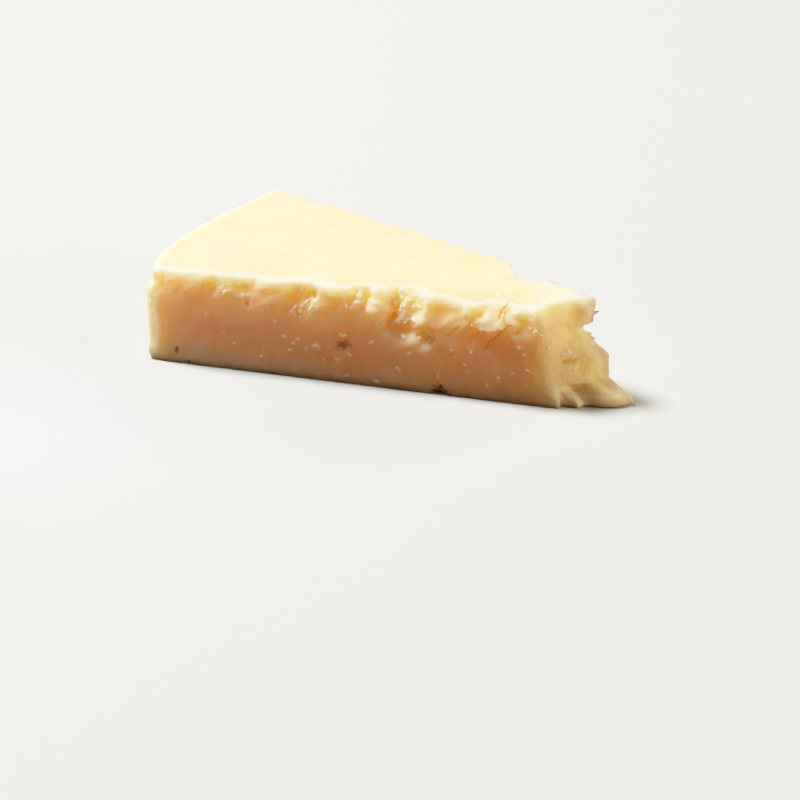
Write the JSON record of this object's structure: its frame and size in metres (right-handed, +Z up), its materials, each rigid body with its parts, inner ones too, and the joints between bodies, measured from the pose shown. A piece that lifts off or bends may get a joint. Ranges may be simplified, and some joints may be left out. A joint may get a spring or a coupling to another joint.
{
  "type": "pecorino romano wedge",
  "caption": "Wedge of hard grating cheese with a smooth cut top, crumbly cut sides, a curved rind end and a broken tip; stands flat on its base.",
  "frame": {"origin": "middle of the wedge's bounding box, on the surface that it rests on", "axes": "+X along the wedge from the rind to the broken tip, +Y towards the back cut face, +Z up"},
  "size_m": [0.1576, 0.0748, 0.0348],
  "materials": {
    "cheese": "pale straw hard cheese, slightly translucent, satin where cut and crumbly where broken"
  },
  "bodies": {
    "root": {"cheese_wedge": "cheese"}
  },
  "joints": []
}
